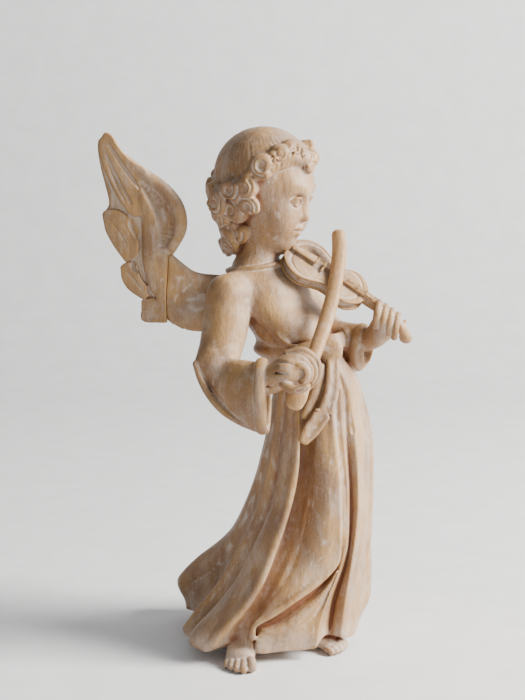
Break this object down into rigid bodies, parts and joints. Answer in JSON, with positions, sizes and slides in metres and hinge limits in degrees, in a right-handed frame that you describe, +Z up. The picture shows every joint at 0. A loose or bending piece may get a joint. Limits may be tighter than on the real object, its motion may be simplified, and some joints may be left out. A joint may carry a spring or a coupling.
{
  "type": "wooden angel statue",
  "caption": "Carved wooden child angel in a flowing robe, standing barefoot and playing a violin with raised wings.",
  "frame": {"origin": "on the flat underside, below the crown of the head and just behind the right foot's instep", "axes": "+Z up, -Y the way the angel's chest and feet face, -X the angel's right side"},
  "size_m": [0.0924, 0.0964, 0.1997],
  "materials": {
    "carved_wood": "limewashed carved wood: warm tan on the raised edges, pale wash in the flats, brown in the hollows",
    "bow_wood": "plain tan carved wood, waxed"
  },
  "bodies": {
    "root": {"figure": "carved_wood", "right_wing": "carved_wood", "left_wing": "carved_wood", "violin": "carved_wood", "bow": "bow_wood"}
  },
  "joints": []
}
